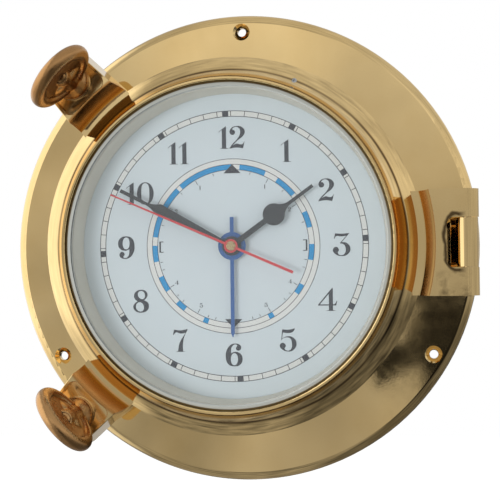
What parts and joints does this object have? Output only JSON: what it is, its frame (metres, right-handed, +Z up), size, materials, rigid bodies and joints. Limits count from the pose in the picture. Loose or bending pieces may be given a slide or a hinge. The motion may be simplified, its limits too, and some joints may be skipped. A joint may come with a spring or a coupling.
{
  "type": "tide clock",
  "caption": "Wall clock in a brass porthole case, with time hands and a tide hand, and a hinged glazed door held by thumb screws.",
  "frame": {"origin": "centre of the flange's back face, in the plane of the wall", "axes": "+Z up, -Y out of the wall towards the viewer, +X to the viewer's right"},
  "size_m": [0.216, 0.0924, 0.216],
  "materials": {
    "polished_brass": "mirror polished cast brass, lightly aged",
    "cast_brass": "duller cast brass with a brown tone",
    "turned_brass": "turned brass",
    "clear_glass": "clear, bevelled at its edge",
    "ivory_plastic": "ivory, satin",
    "dial_white": "pale blue-grey white, satin",
    "blue_enamel": "blue enamel",
    "black_enamel": "black enamel, satin",
    "red_enamel": "red enamel",
    "black_rubber": "black rubber",
    "screw_steel": "plain steel",
    "contact_steel": "nickel plated steel",
    "magnet": "sintered, dark grey",
    "copper_wire": "enamelled copper wire",
    "green_board": "green resin board",
    "black_plastic": "black moulded plastic",
    "white_plastic": "white moulded plastic",
    "red_plastic": "red moulded plastic",
    "battery_can": "plain dark sleeve with bright ends"
  },
  "bodies": {
    "base": {"base_casting": "polished_brass", "boss_bushes": "turned_brass", "hinge_pin": "turned_brass", "rim_seal": "black_rubber", "dial_plate": "dial_white", "dial_screws": "screw_steel", "movement_case": "black_plastic", "movement_cover": "black_plastic", "movement_gasket": "black_rubber", "centre_bush": "turned_brass", "centre_nut": "turned_brass", "battery": "battery_can", "contact_negative": "contact_steel", "contact_positive": "contact_steel", "stator": "contact_steel", "coil_bobbin": "black_plastic", "coil_winding": "copper_wire", "circuit_board": "green_board", "driver_chip": "black_plastic", "quartz_crystal": "contact_steel"},
    "door": {"door_casting": "polished_brass", "bezel_screw": "screw_steel", "glass": "clear_glass", "glass_seal": "black_rubber", "surround": "ivory_plastic", "surround_screws": "screw_steel", "seat_washers": "turned_brass"},
    "upper_ring": {"retaining_ring_upper": "screw_steel"},
    "upper_thumb_screw": {"thumb_stud_upper": "turned_brass", "thumb_nut_upper": "cast_brass"},
    "lower_ring": {"retaining_ring_lower": "screw_steel"},
    "lower_thumb_screw": {"thumb_stud_lower": "turned_brass", "thumb_nut_lower": "cast_brass"},
    "seconds": {"second_wheel": "white_plastic", "second_hand": "red_enamel", "centre_cap": "turned_brass"},
    "third": {"third_wheel": "white_plastic"},
    "centre": {"centre_wheel": "white_plastic"},
    "intermediate": {"intermediate_wheel": "white_plastic"},
    "rotor": {"rotor_arbor": "white_plastic", "rotor_magnet": "magnet"},
    "minutes": {"cannon_wheel": "white_plastic", "minute_hand": "black_enamel"},
    "motion": {"motion_wheel": "white_plastic", "setting_knob": "red_plastic"},
    "hours": {"hour_wheel": "white_plastic", "hour_hand": "black_enamel"},
    "idler": {"tide_idler": "white_plastic"},
    "tide": {"tide_wheel": "white_plastic", "tide_hand": "blue_enamel"}
  },
  "joints": [
    {"name": "door_hinge", "type": "hinge", "parent": "base", "child": "door", "pos_m": [0.1013, -0.055, 0], "axis": [0, 0, 1], "range_deg": [0, 110]},
    {"name": "upper_screw_lift", "type": "slide", "parent": "door", "child": "upper_ring", "axis": [0, -1, 0], "range_m": [0, 0.008]},
    {"name": "upper_screw_turn", "type": "hinge", "parent": "upper_ring", "child": "upper_thumb_screw", "pos_m": [-0.06703, -0.06, 0.07163], "axis": [0, -1, 0], "range_deg": [0, 2880]},
    {"name": "lower_screw_lift", "type": "slide", "parent": "door", "child": "lower_ring", "axis": [0, -1, 0], "range_m": [0, 0.008]},
    {"name": "lower_screw_turn", "type": "hinge", "parent": "lower_ring", "child": "lower_thumb_screw", "pos_m": [-0.06665, -0.06, -0.07198], "axis": [0, -1, 0], "range_deg": [0, 2880]},
    {"name": "second_hand_turn", "type": "hinge", "parent": "base", "child": "seconds", "pos_m": [0, -0.03, 0], "axis": [0, 1, 0], "continuous": true},
    {"name": "third_wheel_turn", "type": "hinge", "parent": "base", "child": "third", "pos_m": [0.01159, -0.03, -0.00311], "axis": [0, 1, 0], "continuous": true},
    {"name": "centre_wheel_turn", "type": "hinge", "parent": "base", "child": "centre", "pos_m": [0, -0.03, 0], "axis": [0, 1, 0], "continuous": true},
    {"name": "intermediate_wheel_turn", "type": "hinge", "parent": "base", "child": "intermediate", "pos_m": [-0.00625, -0.03, 0.01083], "axis": [0, 1, 0], "continuous": true},
    {"name": "rotor_turn", "type": "hinge", "parent": "base", "child": "rotor", "pos_m": [-0.01404, -0.03, 0.01533], "axis": [0, 1, 0], "continuous": true},
    {"name": "minute_hand_turn", "type": "hinge", "parent": "base", "child": "minutes", "pos_m": [0, -0.03, 0], "axis": [0, 1, 0], "continuous": true},
    {"name": "motion_wheel_turn", "type": "hinge", "parent": "base", "child": "motion", "pos_m": [-0.01128, -0.03, -0.0041], "axis": [0, 1, 0], "continuous": true},
    {"name": "hour_hand_turn", "type": "hinge", "parent": "base", "child": "hours", "pos_m": [0, -0.03, 0], "axis": [0, 1, 0], "continuous": true},
    {"name": "tide_idler_turn", "type": "hinge", "parent": "base", "child": "idler", "pos_m": [0.007, -0.03, 0.01212], "axis": [0, 1, 0], "continuous": true},
    {"name": "tide_hand_turn", "type": "hinge", "parent": "base", "child": "tide", "pos_m": [0, -0.03, 0], "axis": [0, 1, 0], "continuous": true}
  ],
  "couplings": [
    {"joint": "upper_screw_turn", "follows": "upper_screw_lift", "rad_per_m": 6283.2},
    {"joint": "lower_screw_turn", "follows": "lower_screw_lift", "rad_per_m": 6283.2},
    {"joint": "third_wheel_turn", "follows": "second_hand_turn", "ratio": -0.13333},
    {"joint": "centre_wheel_turn", "follows": "second_hand_turn", "ratio": 0.016667},
    {"joint": "intermediate_wheel_turn", "follows": "second_hand_turn", "ratio": -6},
    {"joint": "rotor_turn", "follows": "second_hand_turn", "ratio": 30},
    {"joint": "motion_wheel_turn", "follows": "minute_hand_turn", "ratio": -0.33333},
    {"joint": "hour_hand_turn", "follows": "minute_hand_turn", "ratio": 0.083333},
    {"joint": "tide_idler_turn", "follows": "minute_hand_turn", "ratio": -0.2375},
    {"joint": "tide_hand_turn", "follows": "minute_hand_turn", "ratio": 0.080508}
  ]
}
